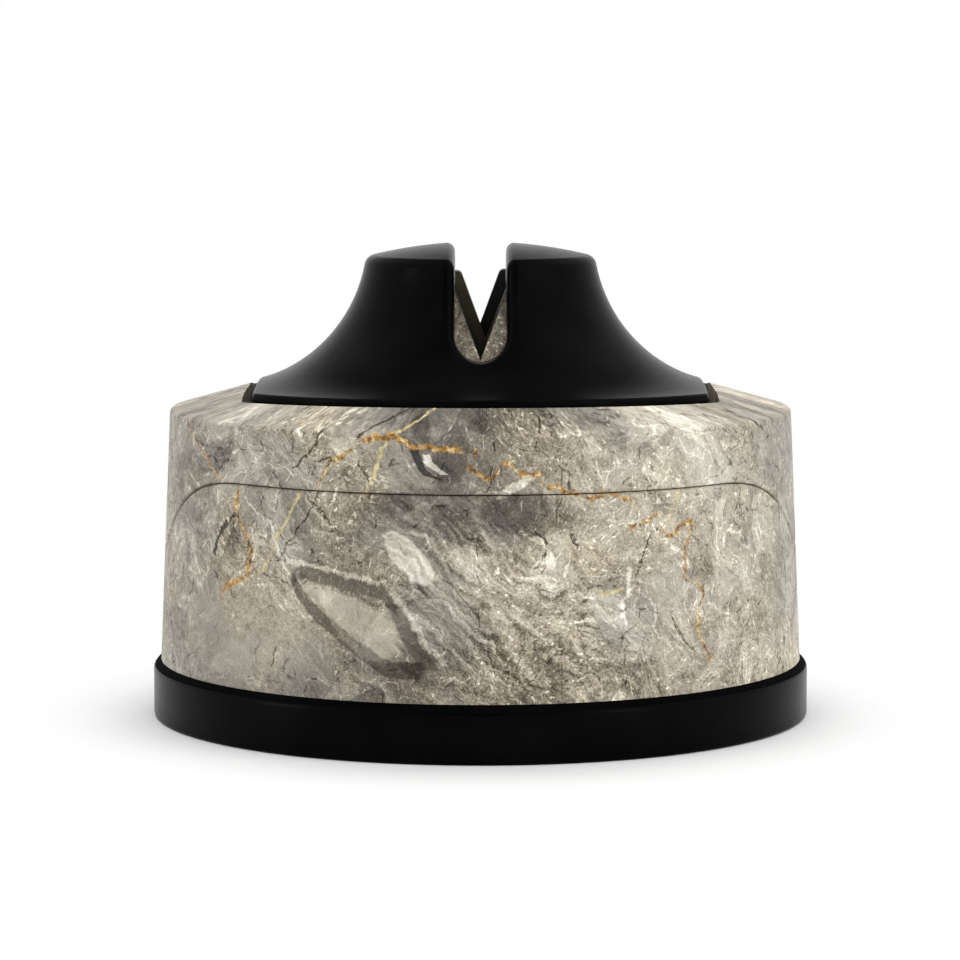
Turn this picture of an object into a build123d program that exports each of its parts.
from build123d import *
import os
from math import cos, hypot, radians, sin, sqrt, tan

# Round knife sharpener that holds itself to the worktop with a suction cup.
# It is modelled closed and locked: lever down, cup centre drawn up.
# Millimetres, +Z up, the front is -Y, the origin is the middle of the footprint.

# Suction cup
cup_radius = 33.0
cup_flange_step = 0.75
cup_rim_height = 5.05
cup_shoulder_height = 5.65
cup_rim_width = 4.2
cup_edge_round = 0.45
diaphragm_wall = 2.0
diaphragm_flat_radius = 9.5
cup_boss_radius = 7.0
cup_boss_length = 3.5
cup_floor_gap = 0.2

# Base plate and its screws
plate_wall = 1.6
plate_clearance = 0.5
plate_flange_wall = 1.4
plate_flange_grip = 1.8
plate_flange_width = 3.4
plate_hole_clearance = 0.6
base_screw_offset = 1.7
base_screw_count = 4
post_radius = 3.4
post_height = 12.0
screw_radius = 1.25
screw_head_radius = 2.2
screw_head_height = 1.5
screw_head_clearance = 0.15
screw_grip = 2.0
base_screw_reach = 7.0

# Body shell and collar
body_height = 25.15
body_draft = 2.45
body_wall = 2.2
rim_round = 0.5
collar_height = 5.55
collar_width = 6.95
collar_rise = 1.95
opening_flat_inset = 0.8
opening_bow_radius = 27.9
opening_corner_round = 2.8
collar_wall = 1.9
deck_wall = 1.7
column_inset = 2.3
column_wall = 1.5
shelf_lip = 0.1
shelf_wall = 1.9
rib_wall = 1.6
rib_count = 3
rib_spread = 45.0

# Lever
pivot_rise = 0.05
lever_travel = 35.0
knuckle_margin = 0.12
seam_gap = 0.1
seam_round = 0.25
seam_corner = 14.9
seam_corner_round = 17.0
flank_lean = 40.0
ear_corner_round = 2.5
lever_wall = 2.47
ear_skin = 1.0

# Pivot shaft, bushes and crank
shaft_radius = 2.0
shaft_key_flat = 0.6
shaft_key_length = 2.6
fit_clearance = 0.05
boss_wall = 0.75
boss_headroom = 0.3
boss_end_gap = 1.1
bush_wall = 1.2
bush_length = 6.0
bush_flange_radius = 3.9
bush_flange_wall = 0.5
crank_throw = 5.5
crank_hub_radius = 4.0
crank_eye_radius = 2.6
crank_pin_radius = 1.25
roll_pin_radius = 0.75

# Lift yoke, stem, washer and nut
yoke_gap = 0.3
yoke_wall = 2.0
yoke_lip = 1.8
yoke_front = 5.0
yoke_rear_wall = 1.4
yoke_slot_clearance = 0.1
yoke_bar_height = 2.0
yoke_travel_gap = 0.45
fork_clearance = 0.2
stem_radius = 2.0
stem_collar_radius = 3.3
stem_collar_height = 1.4
stem_anchor_radius = 4.5
stem_anchor_height = 1.2
stem_anchor_cover = 1.0
washer_radius = 4.2
washer_wall = 0.8
washer_side_gap = 0.4
nut_across_flats = 7.0
nut_height = 2.2
stem_tip = 0.3

# Top housing
dome_gap = 1.05
skirt_rise = 3.44
skirt_round = 0.35
neck_radius = 11.5
neck_rise = 12.91
neck_round = 1.2
crown_rise = 1.45
flank_radius = 15.1
housing_wall = 2.0
slot_width = 5.2
slot_edge_round = 0.8
liner_wall = 1.35
housing_screw_count = 4
housing_boss_radius = 2.5
housing_screw_reach = 3.4

# Cutter guides, cutters and their retainer
guide_clearance = 0.05
notch_rise = 0.2
notch_half_angle = 21.5
guide_foot_half_width = 5.5
guide_foot_length = 9.0
guide_foot_wall = 2.2
cutter_wall = 2.45
cutter_tip_width = 0.58
cutter_cross_rise = 2.8
cutter_top_drop = 1.35
cutter_corner_round = 0.5
rivet_radius = 0.7
rivet_head_radius = 1.1
rivet_head_height = 0.5
retainer_margin = 2.8
retainer_edge = 1.0
retainer_wall = 1.6
retainer_corner = 3.0
retainer_screw_offset = 0.5
retainer_boss_radius = 2.5
retainer_screw_reach = 4.5

# Heights, radii and motion worked out from the sizes above
body_foot_radius = cup_radius - cup_flange_step
rim_height = cup_shoulder_height + body_height
rim_radius = body_foot_radius - body_height * tan(radians(body_draft))
seam_height = rim_height - collar_height
opening_height = rim_height + collar_rise
opening_radius = rim_radius - collar_width
opening_half_width = opening_radius - opening_flat_inset
column_radius = opening_radius - column_inset
base_screw_circle = column_radius + base_screw_offset
lever_inner_radius = rim_radius - lever_wall
pivot_height = seam_height + pivot_rise
half_travel = lever_travel / 2
lift = 2 * crank_throw * sin(radians(half_travel))
crank_pin_y = crank_throw * cos(radians(half_travel))
crank_pin_z = pivot_height + crank_throw * sin(radians(half_travel))
swing_radius = (opening_height - pivot_height) / cos(radians(half_travel))
knuckle_radius = swing_radius - seam_gap + knuckle_margin
ear_bottom = pivot_height - knuckle_radius
seal_radius = cup_radius - cup_rim_width
diaphragm_rise = lift + cup_floor_gap
cup_boss_base = diaphragm_rise + diaphragm_wall
cup_boss_top = cup_boss_base + cup_boss_length
anchor_base = diaphragm_rise + stem_anchor_cover
plate_hole_radius = cup_boss_radius + plate_hole_clearance
plate_flange_radius = seal_radius + plate_flange_grip
plate_flange_inner = plate_flange_radius - plate_flange_width
bush_radius = shaft_radius + fit_clearance + bush_wall
boss_radius = bush_radius + boss_wall
seat_height = pivot_height + boss_radius + boss_headroom
shelf_bottom = seat_height - shelf_wall
base_half_width = opening_half_width - dome_gap
bow_shift = opening_bow_radius - opening_radius
base_corner = sqrt((opening_bow_radius - dome_gap) ** 2 - base_half_width ** 2) - bow_shift
skirt_radius = hypot(base_half_width, base_corner)
skirt_height = seat_height + skirt_rise
neck_height = skirt_height + neck_rise
crown_height = neck_height + crown_rise
housing_screw_circle = column_radius - column_wall - screw_head_radius - screw_head_clearance
retainer_bottom = seat_height + screw_head_height + screw_head_clearance
guide_foot_bottom = retainer_bottom + retainer_wall
liner_bottom = guide_foot_bottom + guide_foot_wall
slot_floor = liner_bottom + liner_wall
notch_height = slot_floor + notch_rise
cutter_cross_height = slot_floor + cutter_cross_rise
cutter_top_height = neck_height - cutter_top_drop
retainer_screw_spacing = 2 * (neck_radius + retainer_screw_offset)
retainer_length = retainer_screw_spacing + 2 * retainer_margin
retainer_width = 2 * (guide_foot_half_width + retainer_edge)
slot_radius = slot_width / 2
liner_half_width = slot_radius + liner_wall
cutter_stack = cutter_wall + guide_clearance
yoke_inner = washer_radius + washer_side_gap
yoke_outer = yoke_inner + yoke_wall
crank_width = 2 * (yoke_inner - yoke_gap)
far = 2 * cup_radius


def outer_radius(height):
    """Radius of the drafted outer wall at a height."""
    return body_foot_radius - (height - cup_shoulder_height) * tan(radians(body_draft))


def is_seam_edge(edge):
    """Whether an edge runs where the seam cuts the drafted outer wall."""
    points = [edge @ share for share in (0, 0.25, 0.5, 0.75, 1)]
    on_wall = all(abs(hypot(point.X, point.Y) - outer_radius(point.Z)) < fit_clearance for point in points)
    return on_wall and cup_shoulder_height + seam_gap < points[2].Z < rim_height - rim_round


def opening_plan(gap):
    """Plan of the collar's opening, flat at the sides and bowed at front and back, smaller by gap."""
    with BuildSketch(Plane.XY.offset(seat_height), mode=Mode.PRIVATE) as plan:
        Rectangle(2 * (opening_half_width - gap), far)
        for side in (-1, 1):
            with Locations((0, side * bow_shift)):
                Circle(opening_bow_radius - gap, mode=Mode.INTERSECT)
        fillet(plan.vertices(), opening_corner_round - gap)
    return plan.sketch


def diaphragm_top(radius):
    """Height of the upper face of the drawn-up diaphragm at a radius."""
    share = (seal_radius - radius) / (seal_radius - diaphragm_flat_radius)
    return diaphragm_wall + diaphragm_rise * min(share, 1.0)


# Side profile of the lever: seam, slanted flank, flat ear, round knuckle
ear_front = seam_corner - (seam_height - ear_bottom) / tan(radians(flank_lean))
with BuildSketch(Plane.YZ) as lever_side:
    with BuildLine():
        Polyline((0, pivot_height + knuckle_radius), (0, far), (-far, far), (-far, seam_height),
                 (-seam_corner, seam_height), (-ear_front, ear_bottom), (0, ear_bottom))
        ThreePointArc((0, ear_bottom), (knuckle_radius, pivot_height), (0, pivot_height + knuckle_radius))
    make_face()
    seam_vertex = lever_side.vertices().sort_by_distance((-seam_corner, seam_height))[0]
    fillet(seam_vertex, seam_corner_round)
    ear_vertex = lever_side.vertices().sort_by_distance((-ear_front, ear_bottom))[0]
    fillet(ear_vertex, ear_corner_round)

with BuildSketch(Plane.YZ) as lever_room:
    add(lever_side.sketch_local)
    offset(amount=seam_gap, kind=Kind.ARC, mode=Mode.REPLACE)

with BuildSketch(Plane.YZ) as deck_side:
    add(lever_side.sketch_local)
    offset(amount=seam_gap + deck_wall, kind=Kind.ARC, mode=Mode.REPLACE)
    add(lever_room.sketch_local, mode=Mode.SUBTRACT)


def keyed_section(grow):
    """Section of the shaft end with its key flat, larger all round by grow."""
    with BuildSketch(Plane.YZ, mode=Mode.PRIVATE) as section:
        with Locations((0, pivot_height)):
            Circle(shaft_radius + grow)
        with Locations((0, pivot_height + shaft_radius - shaft_key_flat + grow)):
            Rectangle(far, far, align=(Align.CENTER, Align.MIN), mode=Mode.SUBTRACT)
    return section.sketch


# Suction cup, one rubber moulding with a socket for the stem's anchor
with BuildPart() as suction_cup:
    groove_bottom = diaphragm_top(plate_flange_inner) + plate_clearance - fit_clearance
    groove_top = groove_bottom + plate_flange_wall + 2 * fit_clearance
    groove_radius = plate_flange_radius + fit_clearance
    anchor_hole = stem_anchor_radius + fit_clearance
    stem_hole = stem_radius + fit_clearance
    anchor_top = anchor_base + stem_anchor_height + 2 * fit_clearance
    with BuildSketch(Plane.XZ) as cup_profile:
        with BuildLine():
            Polyline(
                (0, diaphragm_rise), (diaphragm_flat_radius, diaphragm_rise), (seal_radius, 0),
                (cup_radius, 0), (cup_radius, cup_rim_height), (body_foot_radius, cup_shoulder_height),
                (seal_radius, cup_shoulder_height), (seal_radius, groove_top), (groove_radius, groove_top),
                (groove_radius, groove_bottom), (seal_radius, groove_bottom), (seal_radius, diaphragm_wall),
                (diaphragm_flat_radius, cup_boss_base), (cup_boss_radius, cup_boss_base),
                (cup_boss_radius, cup_boss_top), (stem_hole, cup_boss_top), (stem_hole, anchor_top),
                (anchor_hole, anchor_top), (anchor_hole, anchor_base), (0, anchor_base), close=True)
        make_face()
        fillet(cup_profile.vertices().group_by(Axis.X)[-1], cup_edge_round)
    revolve(axis=Axis.Z)
suction_cup.part.label = "suction_cup"

# Base plate: its flange sits in the cup's groove, and screws hold it to the body
with BuildPart() as base_plate:
    flange_bottom = diaphragm_top(plate_flange_inner) + plate_clearance
    hub_bottom = diaphragm_top(plate_hole_radius) + plate_clearance
    hub_top = hub_bottom + plate_wall
    pad_bottom = diaphragm_top(base_screw_circle - post_radius) + plate_clearance + plate_wall - screw_grip
    pad_top = pad_bottom + screw_grip + screw_head_height
    with BuildSketch(Plane.XZ):
        with BuildLine():
            Polyline(
                (plate_hole_radius, hub_bottom), (diaphragm_flat_radius, hub_bottom),
                (plate_flange_inner, flange_bottom), (plate_flange_radius, flange_bottom),
                (plate_flange_radius, flange_bottom + plate_flange_wall),
                (plate_flange_inner, flange_bottom + plate_flange_wall), (diaphragm_flat_radius, hub_top),
                (plate_hole_radius, hub_top), close=True)
        make_face()
    revolve(axis=Axis.Z)
    with BuildSketch(Plane.XY.offset(pad_bottom)):
        with PolarLocations(base_screw_circle, base_screw_count, start_angle=45):
            Circle(post_radius)
    extrude(amount=pad_top - pad_bottom)
    with BuildSketch(Plane.XY):
        with PolarLocations(base_screw_circle, base_screw_count, start_angle=45):
            Circle(screw_head_radius + screw_head_clearance)
    extrude(amount=pad_top - screw_grip, mode=Mode.SUBTRACT)
    with BuildSketch(Plane.XY):
        with PolarLocations(base_screw_circle, base_screw_count, start_angle=45):
            Circle(screw_radius + fit_clearance)
    extrude(amount=far, mode=Mode.SUBTRACT)
base_plate.part.label = "base_plate"

# Body shell: drafted wall with a conical top, cut away where the lever sits
collar_slope = (opening_height - rim_height) / (rim_radius - opening_radius)


def collar_underside(radius):
    """Height of the underside of the conical top at a radius."""
    return rim_height + (rim_radius - radius) * collar_slope - collar_wall


with BuildPart() as deck:
    with BuildSketch(Plane.XZ):
        with BuildLine():
            Polyline((column_radius - column_wall / 2, cup_shoulder_height),
                     (body_foot_radius - body_wall / 2, cup_shoulder_height),
                     (rim_radius - body_wall / 2, rim_height - collar_wall / 2),
                     (opening_radius, collar_underside(opening_radius) + collar_wall / 2),
                     (opening_radius, seat_height), (column_radius - column_wall / 2, seat_height),
                     close=True)
        make_face()
    revolve(axis=Axis.Z)
    extrude(deck_side.sketch, amount=far, both=True, mode=Mode.INTERSECT)

with BuildPart() as body_shell:
    wall_inner = rim_radius - body_wall
    with BuildSketch(Plane.XZ) as wall_profile:
        with BuildLine():
            Polyline((body_foot_radius, cup_shoulder_height), (rim_radius, rim_height),
                     (opening_radius, opening_height), (base_half_width, opening_height),
                     (base_half_width, collar_underside(opening_radius)),
                     (opening_radius, collar_underside(opening_radius)),
                     (wall_inner, collar_underside(wall_inner)),
                     (body_foot_radius - body_wall, cup_shoulder_height), close=True)
        make_face()
        rim_vertex = wall_profile.vertices().sort_by_distance((rim_radius, rim_height))[0]
        fillet(rim_vertex, rim_round)
    revolve(axis=Axis.Z)
    extrude(opening_plan(0), amount=far, mode=Mode.SUBTRACT)
    extrude(lever_room.sketch, amount=far, both=True, mode=Mode.SUBTRACT)
    cut_edges = body_shell.edges(Select.LAST).filter_by(GeomType.LINE, reverse=True)
    chamfer(cut_edges.filter_by(is_seam_edge), seam_round)
    add(deck.part)
    # Column with the shelf that carries the top housing
    with BuildSketch(Plane.XY.offset(pad_top)):
        Circle(column_radius)
        Circle(column_radius - column_wall, mode=Mode.SUBTRACT)
    extrude(amount=seat_height - pad_top)
    with BuildSketch(Plane.XY.offset(shelf_bottom)):
        Circle(column_radius)
        Circle(housing_screw_circle - screw_head_radius - shelf_lip, mode=Mode.SUBTRACT)
        with PolarLocations(housing_screw_circle, housing_screw_count, start_angle=45):
            Circle(screw_radius + fit_clearance, mode=Mode.SUBTRACT)
    extrude(amount=shelf_wall)
    # Ribs behind the column
    with BuildSketch(Plane.XY.offset(pad_top)):
        for turn in range(rib_count):
            angle = 90 + (turn - (rib_count - 1) / 2) * rib_spread
            with PolarLocations((column_radius + wall_inner) / 2, 1, start_angle=angle):
                Rectangle(wall_inner - column_radius + body_wall, rib_wall)
    extrude(amount=seam_height - pad_top)
    # Posts for the base screws
    with BuildSketch(Plane.XY.offset(pad_top)):
        with PolarLocations(base_screw_circle, base_screw_count, start_angle=45):
            Circle(post_radius)
    extrude(amount=post_height)
    with BuildSketch(Plane.XY.offset(pad_top)):
        with PolarLocations(base_screw_circle, base_screw_count, start_angle=45):
            Circle(screw_radius)
    extrude(amount=base_screw_reach, mode=Mode.SUBTRACT)
    # Bearing bosses for the pivot shaft
    boss_end = lever_inner_radius - boss_end_gap
    for side in (-1, 1):
        with BuildSketch(Plane.YZ.offset(side * (column_radius - column_wall / 2))):
            with Locations((0, pivot_height)):
                Circle(boss_radius)
        extrude(amount=side * (boss_end - column_radius + column_wall / 2))
    for side in (-1, 1):
        with BuildSketch(Plane.YZ.offset(side * boss_end)):
            with Locations((0, pivot_height)):
                Circle(bush_radius)
        extrude(amount=-side * (boss_end - column_radius + column_wall + shaft_radius), mode=Mode.SUBTRACT)
body_shell.part.label = "body_shell"

# Base screws, driven from below into the posts
with BuildPart() as base_screws:
    head_top = pad_top - screw_grip
    with BuildSketch(Plane.XY.offset(head_top - screw_head_height)):
        with PolarLocations(base_screw_circle, base_screw_count, start_angle=45):
            Circle(screw_head_radius)
    extrude(amount=screw_head_height)
    with BuildSketch(Plane.XY.offset(head_top)):
        with PolarLocations(base_screw_circle, base_screw_count, start_angle=45):
            Circle(screw_radius)
    extrude(amount=screw_grip + base_screw_reach)
base_screws.part.label = "base_screws"

# Lever: the front of the collar, with an ear and a knuckle at each side
with BuildPart() as lever:
    with BuildSketch(Plane.XZ) as collar_profile:
        with BuildLine():
            Polyline((outer_radius(ear_bottom - seam_gap), ear_bottom - seam_gap), (rim_radius, rim_height),
                     (opening_radius, opening_height), (base_half_width, opening_height),
                     (base_half_width, collar_underside(opening_radius)),
                     (opening_radius, collar_underside(opening_radius)),
                     (lever_inner_radius, collar_underside(lever_inner_radius)),
                     (lever_inner_radius, ear_bottom - seam_gap), close=True)
        make_face()
        collar_vertex = collar_profile.vertices().sort_by_distance((rim_radius, rim_height))[0]
        fillet(collar_vertex, rim_round)
    revolve(axis=Axis.Z)
    extrude(opening_plan(0), amount=far, mode=Mode.SUBTRACT)
    extrude(lever_side.sketch, amount=far, both=True, mode=Mode.INTERSECT)
    fillet(lever.edges().filter_by(GeomType.LINE, reverse=True).filter_by(is_seam_edge), seam_round)
    shaft_end = outer_radius(pivot_height) - ear_skin - fit_clearance
    extrude(keyed_section(fit_clearance), amount=shaft_end + fit_clearance, both=True, mode=Mode.SUBTRACT)
lever.part.label = "lever"

# Pivot shaft with a key flat at each end
with BuildPart() as pivot_shaft:
    with BuildSketch(Plane.YZ):
        with Locations((0, pivot_height)):
            Circle(shaft_radius)
    extrude(amount=shaft_end - shaft_key_length, both=True)
    extrude(keyed_section(0), amount=shaft_end, both=True)
    with BuildSketch(Plane.XY):
        Circle(roll_pin_radius)
    extrude(amount=far, mode=Mode.SUBTRACT)
pivot_shaft.part.label = "pivot_shaft"

# Flanged bushes that carry the shaft in the bosses
bushes = {}
for side, name in ((-1, "left_bush"), (1, "right_bush")):
    with BuildPart() as bush:
        with BuildSketch(Plane.YZ.offset(side * (boss_end - bush_length))):
            with Locations((0, pivot_height)):
                Circle(bush_radius)
        extrude(amount=side * bush_length)
        with BuildSketch(Plane.YZ.offset(side * boss_end)):
            with Locations((0, pivot_height)):
                Circle(bush_flange_radius)
        extrude(amount=side * bush_flange_wall)
        with BuildSketch(Plane.YZ):
            with Locations((0, pivot_height)):
                Circle(shaft_radius + fit_clearance)
        extrude(amount=far, both=True, mode=Mode.SUBTRACT)
    bush.part.label = name
    bushes[name] = bush.part

# Crank arm on the middle of the shaft, keyed by a roll pin
with BuildPart() as crank_arm:
    with BuildSketch(Plane.YZ) as crank_side:
        with Locations((0, pivot_height)):
            Circle(crank_hub_radius)
        with Locations((crank_pin_y, crank_pin_z)):
            Circle(crank_eye_radius)
        make_hull()
        with Locations((0, pivot_height)):
            Circle(shaft_radius + fit_clearance, mode=Mode.SUBTRACT)
        with Locations((crank_pin_y, crank_pin_z)):
            Circle(crank_pin_radius, mode=Mode.SUBTRACT)
    extrude(amount=crank_width / 2, both=True)
    with BuildSketch(Plane.XY):
        Circle(roll_pin_radius)
    extrude(amount=far, mode=Mode.SUBTRACT)
crank_arm.part.label = "crank_arm"

with BuildPart() as roll_pin:
    with BuildSketch(Plane.XY.offset(pivot_height)):
        Circle(roll_pin_radius)
    extrude(amount=crank_hub_radius - roll_pin_radius, both=True)
roll_pin.part.label = "roll_pin"

# Crank pin, pressed through the arm and running in the yoke's slots
with BuildPart() as crank_pin:
    with BuildSketch(Plane.YZ):
        with Locations((crank_pin_y, crank_pin_z)):
            Circle(crank_pin_radius)
    extrude(amount=yoke_outer, both=True)
crank_pin.part.label = "crank_pin"

# Lift yoke: two forked cheeks joined by a bar over the cup
bar_bottom = hub_top + lift + yoke_travel_gap
bar_top = bar_bottom + yoke_bar_height
pin_slot_radius = crank_pin_radius + yoke_slot_clearance
cheek_top = crank_pin_z + pin_slot_radius + yoke_lip
cheek_rear = crank_throw + pin_slot_radius + yoke_slot_clearance + yoke_rear_wall
fork_half_width = shaft_radius + fork_clearance
with BuildPart() as lift_yoke:
    with BuildSketch(Plane.YZ):
        with BuildLine():
            Polyline((-yoke_front, bar_bottom), (cheek_rear, bar_bottom), (cheek_rear, cheek_top),
                     (-yoke_front, cheek_top), close=True)
        make_face()
        with Locations((0, pivot_height - fork_half_width)):
            Rectangle(2 * fork_half_width, far, align=(Align.CENTER, Align.MIN), mode=Mode.SUBTRACT)
        with Locations(((crank_pin_y + crank_throw) / 2, crank_pin_z)):
            SlotCenterToCenter(crank_throw - crank_pin_y + 2 * yoke_slot_clearance, 2 * pin_slot_radius,
                               mode=Mode.SUBTRACT)
    extrude(amount=yoke_outer, both=True)
    with BuildSketch(Plane.YZ):
        with Locations((0, bar_top)):
            Rectangle(far, far, align=(Align.CENTER, Align.MIN))
    extrude(amount=yoke_inner, both=True, mode=Mode.SUBTRACT)
    with BuildSketch(Plane.XY.offset(bar_bottom)):
        Circle(stem_radius + fit_clearance)
    extrude(amount=yoke_bar_height, mode=Mode.SUBTRACT)
lift_yoke.part.label = "lift_yoke"

# Stem: anchor moulded into the cup, collar under the yoke's bar, thread above it
washer_top = bar_top + washer_wall
nut_top = washer_top + nut_height
with BuildPart() as suction_stem:
    anchor_seat = anchor_base + fit_clearance
    with BuildSketch(Plane.XZ):
        with BuildLine():
            Polyline((0, anchor_seat), (stem_anchor_radius, anchor_seat),
                     (stem_anchor_radius, anchor_seat + stem_anchor_height),
                     (stem_radius, anchor_seat + stem_anchor_height),
                     (stem_radius, bar_bottom - stem_collar_height),
                     (stem_collar_radius, bar_bottom - stem_collar_height), (stem_collar_radius, bar_bottom),
                     (stem_radius, bar_bottom), (stem_radius, nut_top + stem_tip), (0, nut_top + stem_tip),
                     close=True)
        make_face()
    revolve(axis=Axis.Z)
suction_stem.part.label = "suction_stem"

with BuildPart() as stem_washer:
    with BuildSketch(Plane.XY.offset(bar_top)):
        Circle(washer_radius)
        Circle(stem_radius + fit_clearance, mode=Mode.SUBTRACT)
    extrude(amount=washer_wall)
stem_washer.part.label = "stem_washer"

with BuildPart() as stem_nut:
    with BuildSketch(Plane.XY.offset(washer_top)):
        RegularPolygon(nut_across_flats / 2, 6, major_radius=False)
        Circle(stem_radius, mode=Mode.SUBTRACT)
    extrude(amount=nut_height)
stem_nut.part.label = "stem_nut"

# Top housing: concave flank between the skirt and the towers
chord_r = skirt_radius - neck_radius
chord_z = neck_height - skirt_height
chord = hypot(chord_r, chord_z)
flank_reach = sqrt(flank_radius ** 2 - (chord / 2) ** 2)
flank_center_r = (skirt_radius + neck_radius) / 2 + flank_reach * chord_z / chord
flank_center_z = (neck_height + skirt_height) / 2 + flank_reach * chord_r / chord
cavity_radius = base_half_width - housing_wall
cavity_top = neck_height - housing_wall


def inner_flank_height(radius):
    """Height of the housing's inner flank at a radius."""
    return flank_center_z - sqrt((flank_radius + housing_wall) ** 2 - (flank_center_r - radius) ** 2)


def inner_flank_radius(height):
    """Radius of the housing's inner flank at a height."""
    return flank_center_r - sqrt((flank_radius + housing_wall) ** 2 - (flank_center_z - height) ** 2)


with BuildSketch(Plane.XZ) as cavity_profile:
    with BuildLine():
        Polyline((inner_flank_radius(cavity_top), cavity_top), (0, cavity_top), (0, seat_height),
                 (cavity_radius, seat_height), (cavity_radius, inner_flank_height(cavity_radius)))
        RadiusArc((cavity_radius, inner_flank_height(cavity_radius)),
                  (inner_flank_radius(cavity_top), cavity_top), flank_radius + housing_wall)
    make_face()

# Hollow of the housing, with the slot's liner walls and the screw bosses left standing
with BuildPart() as housing_hollow:
    add(cavity_profile.sketch)
    revolve(axis=Axis.Z)
    with BuildSketch(Plane.XY.offset(liner_bottom)):
        Rectangle(2 * liner_half_width, far)
    extrude(amount=far, mode=Mode.SUBTRACT)
    with BuildSketch(Plane.XY.offset(guide_foot_bottom)):
        with GridLocations(retainer_screw_spacing, 0, 2, 1):
            Circle(retainer_boss_radius)
    extrude(amount=far, mode=Mode.SUBTRACT)
    with BuildSketch(Plane.XY.offset(seat_height)):
        with PolarLocations(housing_screw_circle, housing_screw_count, start_angle=45):
            Circle(housing_boss_radius)
    extrude(amount=far, mode=Mode.SUBTRACT)

# Channel between the liner walls, where the guides stand
with BuildPart() as guide_channel:
    add(cavity_profile.sketch)
    revolve(axis=Axis.Z)
    with BuildSketch(Plane.XY.offset(seat_height)):
        Rectangle(slot_width, far)
    extrude(amount=far, mode=Mode.INTERSECT)

with BuildPart() as top_housing:
    with BuildSketch(Plane.XZ) as housing_profile:
        with BuildLine():
            Polyline((0, crown_height), (0, seat_height), (skirt_radius, seat_height),
                     (skirt_radius, skirt_height))
            RadiusArc((skirt_radius, skirt_height), (neck_radius, neck_height), flank_radius)
            TangentArc((0, crown_height), (neck_radius, neck_height), tangent=(1, 0))
        make_face()
        fillet(housing_profile.vertices().sort_by_distance((neck_radius, neck_height))[0], neck_round)
    revolve(axis=Axis.Z)
    with BuildSketch(Plane.XZ):
        with Locations((0, slot_floor + slot_radius)):
            Circle(slot_radius)
            Rectangle(slot_width, far, align=(Align.CENTER, Align.MIN))
    extrude(amount=far, both=True, mode=Mode.SUBTRACT)
    slot_edges = top_housing.edges(Select.LAST).filter_by(GeomType.LINE, reverse=True)
    fillet(slot_edges, slot_edge_round)
    extrude(opening_plan(dome_gap), amount=far, mode=Mode.INTERSECT)
    skirt_edges = top_housing.edges().filter_by_position(Axis.Z, seat_height + skirt_rise / 2, crown_height)
    fillet(skirt_edges.filter_by(lambda edge: edge.center().Z < skirt_height + housing_wall), skirt_round)
    add(housing_hollow.part, mode=Mode.SUBTRACT)
    add(guide_channel.part, mode=Mode.SUBTRACT)
    with BuildSketch(Plane.XY.offset(guide_foot_bottom)):
        with GridLocations(retainer_screw_spacing, 0, 2, 1):
            Circle(screw_radius)
    extrude(amount=retainer_screw_reach, mode=Mode.SUBTRACT)
    with BuildSketch(Plane.XY.offset(seat_height)):
        with PolarLocations(housing_screw_circle, housing_screw_count, start_angle=45):
            Circle(screw_radius)
    extrude(amount=housing_screw_reach, mode=Mode.SUBTRACT)
top_housing.part.label = "top_housing"

# Housing screws, driven up through the shelf
with BuildPart() as housing_screws:
    with BuildSketch(Plane.XY.offset(shelf_bottom - screw_head_height)):
        with PolarLocations(housing_screw_circle, housing_screw_count, start_angle=45):
            Circle(screw_head_radius)
    extrude(amount=screw_head_height)
    with BuildSketch(Plane.XY.offset(shelf_bottom)):
        with PolarLocations(housing_screw_circle, housing_screw_count, start_angle=45):
            Circle(screw_radius)
    extrude(amount=shelf_wall + housing_screw_reach)
housing_screws.part.label = "housing_screws"

# Guides: blocks with a V notch that fill the slot, one each side of the cutters
notch_reach = (crown_height - notch_height) * tan(radians(notch_half_angle))
rivet_height = guide_foot_bottom + guide_foot_wall / 2
guides = {}
for side, outward, name in ((-1, Align.MAX, "front_guide"), (1, Align.MIN, "rear_guide")):
    with BuildPart() as guide:
        add(guide_channel.part)
        with BuildSketch(Plane.XY.offset(guide_foot_bottom)):
            Rectangle(slot_width - 2 * guide_clearance, far)
        extrude(amount=far, mode=Mode.INTERSECT)
        with BuildSketch(Plane.XZ):
            with BuildLine():
                Polyline((0, notch_height), (notch_reach, crown_height), (-notch_reach, crown_height),
                         close=True)
            make_face()
        extrude(amount=far, both=True, mode=Mode.SUBTRACT)
        with BuildSketch(Plane.XY.offset(guide_foot_bottom)):
            Rectangle(2 * guide_foot_half_width, 2 * guide_foot_length)
        extrude(amount=guide_foot_wall)
        with BuildSketch(Plane.YZ):
            with Locations((side * guide_foot_length, liner_bottom)):
                Rectangle(far, far, align=(outward, Align.MAX))
        extrude(amount=far, both=True, mode=Mode.SUBTRACT)
        with BuildSketch(Plane.XZ):
            with Locations((0, rivet_height)):
                Circle(rivet_radius)
        extrude(amount=far, both=True, mode=Mode.SUBTRACT)
        with BuildSketch(Plane.XY):
            with Locations((0, side * cutter_stack)):
                Rectangle(far, far, align=(Align.CENTER, outward))
        extrude(amount=far, mode=Mode.INTERSECT)
    guide.part.label = name
    guides[name] = guide.part

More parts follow.
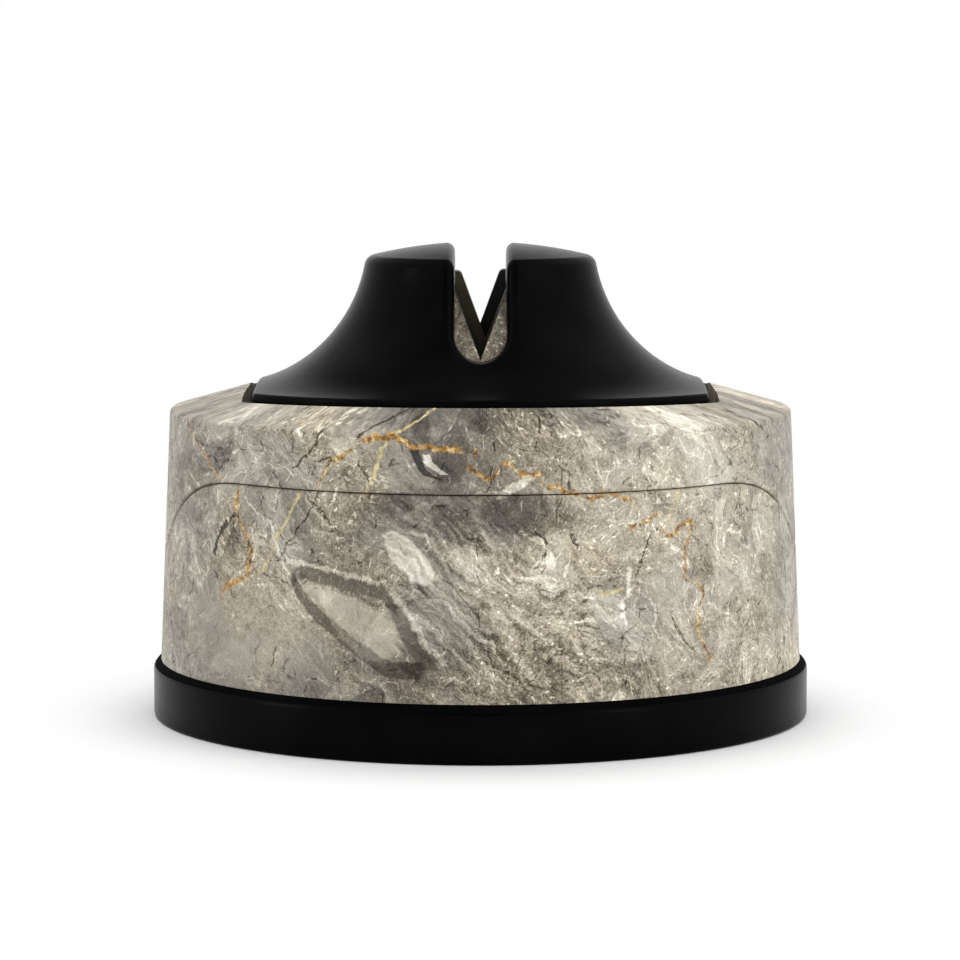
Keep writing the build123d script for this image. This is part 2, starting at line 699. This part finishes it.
# Carbide cutters: the left one stands in front, and their inner edges cross in the V
cutter_outer = slot_radius - guide_clearance
cutter_top_reach = cutter_outer - cutter_tip_width
cutter_slope = cutter_top_reach / (cutter_top_height - cutter_cross_height)
cutter_foot_reach = (cutter_cross_height - guide_foot_bottom) * cutter_slope
cutters = {}
for side, name in ((-1, "left_cutter"), (1, "right_cutter")):
    with BuildPart() as cutter:
        with BuildSketch(Plane.XZ.offset(-side * guide_clearance / 2)) as cutter_face:
            with BuildLine():
                Polyline((side * cutter_outer, guide_foot_bottom),
                         (-side * cutter_foot_reach, guide_foot_bottom),
                         (side * cutter_top_reach, cutter_top_height),
                         (side * cutter_outer, cutter_top_height), close=True)
            make_face()
            top_corner = cutter_face.vertices().group_by(Axis.Y)[-1].sort_by(lambda corner: abs(corner.X))[0]
            fillet(top_corner, cutter_corner_round)
            with Locations((0, rivet_height)):
                Circle(rivet_radius, mode=Mode.SUBTRACT)
        extrude(amount=-side * cutter_wall)
    cutter.part.label = name
    cutters[name] = cutter.part

# Rivet through the guides and cutters
with BuildPart() as guide_rivet:
    with BuildSketch(Plane.XZ):
        with Locations((0, rivet_height)):
            Circle(rivet_radius)
    extrude(amount=guide_foot_length, both=True)
    for side in (-1, 1):
        with BuildSketch(Plane.XZ.offset(side * guide_foot_length)):
            with Locations((0, rivet_height)):
                Circle(rivet_head_radius)
        extrude(amount=side * rivet_head_height)
guide_rivet.part.label = "guide_rivet"

# Retainer plate under the guides, with its two screws
with BuildPart() as retainer_plate:
    with BuildSketch(Plane.XY.offset(retainer_bottom)):
        RectangleRounded(retainer_length, retainer_width, retainer_corner)
        with GridLocations(retainer_screw_spacing, 0, 2, 1):
            Circle(screw_radius + fit_clearance, mode=Mode.SUBTRACT)
    extrude(amount=retainer_wall)
retainer_plate.part.label = "retainer_plate"

with BuildPart() as retainer_screws:
    with BuildSketch(Plane.XY.offset(retainer_bottom - screw_head_height)):
        with GridLocations(retainer_screw_spacing, 0, 2, 1):
            Circle(screw_head_radius)
    extrude(amount=screw_head_height)
    with BuildSketch(Plane.XY.offset(retainer_bottom)):
        with GridLocations(retainer_screw_spacing, 0, 2, 1):
            Circle(screw_radius)
    extrude(amount=retainer_wall + retainer_screw_reach)
retainer_screws.part.label = "retainer_screws"

# One STEP file for each piece
pieces = [
    suction_cup.part, base_plate.part, base_screws.part, body_shell.part, lever.part, pivot_shaft.part,
    *bushes.values(), crank_arm.part, roll_pin.part, crank_pin.part, lift_yoke.part, suction_stem.part,
    stem_washer.part, stem_nut.part, top_housing.part, housing_screws.part, *guides.values(),
    *cutters.values(), guide_rivet.part, retainer_plate.part, retainer_screws.part,
]
os.makedirs("parts", exist_ok=True)
for piece in pieces:
    export_step(piece, f"parts/{piece.label}.step")
